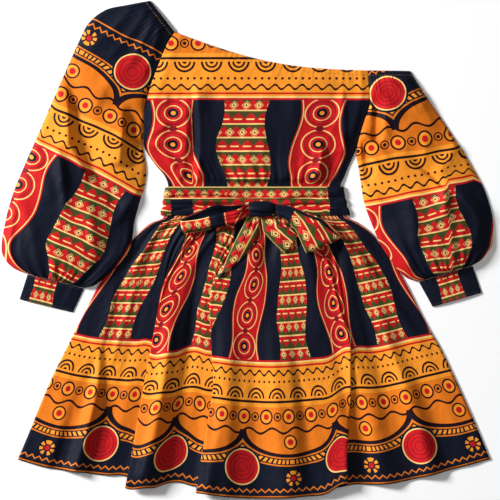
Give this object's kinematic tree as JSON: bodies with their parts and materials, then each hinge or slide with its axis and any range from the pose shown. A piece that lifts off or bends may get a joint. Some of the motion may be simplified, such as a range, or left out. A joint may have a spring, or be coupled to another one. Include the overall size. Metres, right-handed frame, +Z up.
{
  "type": "off-shoulder dress",
  "caption": "Short flared dress laid flat, with a slanted one-shoulder neckline, long puffed sleeves, cuffs and a wide sash tied in a bow.",
  "frame": {"origin": "middle of the laid-out dress, on the surface that it lies on", "axes": "+Z up from the surface, through the thin way of the cloth; +Y from hem to neckline; +X to the right seen from above"},
  "size_m": [0.9122, 0.9214, 0.0252],
  "materials": {
    "printed_cloth_orange": "crisp printed cotton, slight sheen",
    "printed_cloth_red": "crisp printed cotton, slight sheen",
    "printed_cloth_navy": "crisp printed cotton, slight sheen"
  },
  "bodies": {
    "root": {"bodice_front": "printed_cloth_red", "bodice_back": "printed_cloth_red", "skirt_front": "printed_cloth_orange", "skirt_back": "printed_cloth_orange", "sleeve_left": "printed_cloth_orange", "sleeve_right": "printed_cloth_orange", "cuff_left": "printed_cloth_navy", "cuff_right": "printed_cloth_navy", "belt": "printed_cloth_red", "bow_knot": "printed_cloth_navy", "bow_loop_left": "printed_cloth_red", "bow_loop_right": "printed_cloth_red", "bow_tail_left": "printed_cloth_red", "bow_tail_right": "printed_cloth_red"}
  },
  "joints": []
}
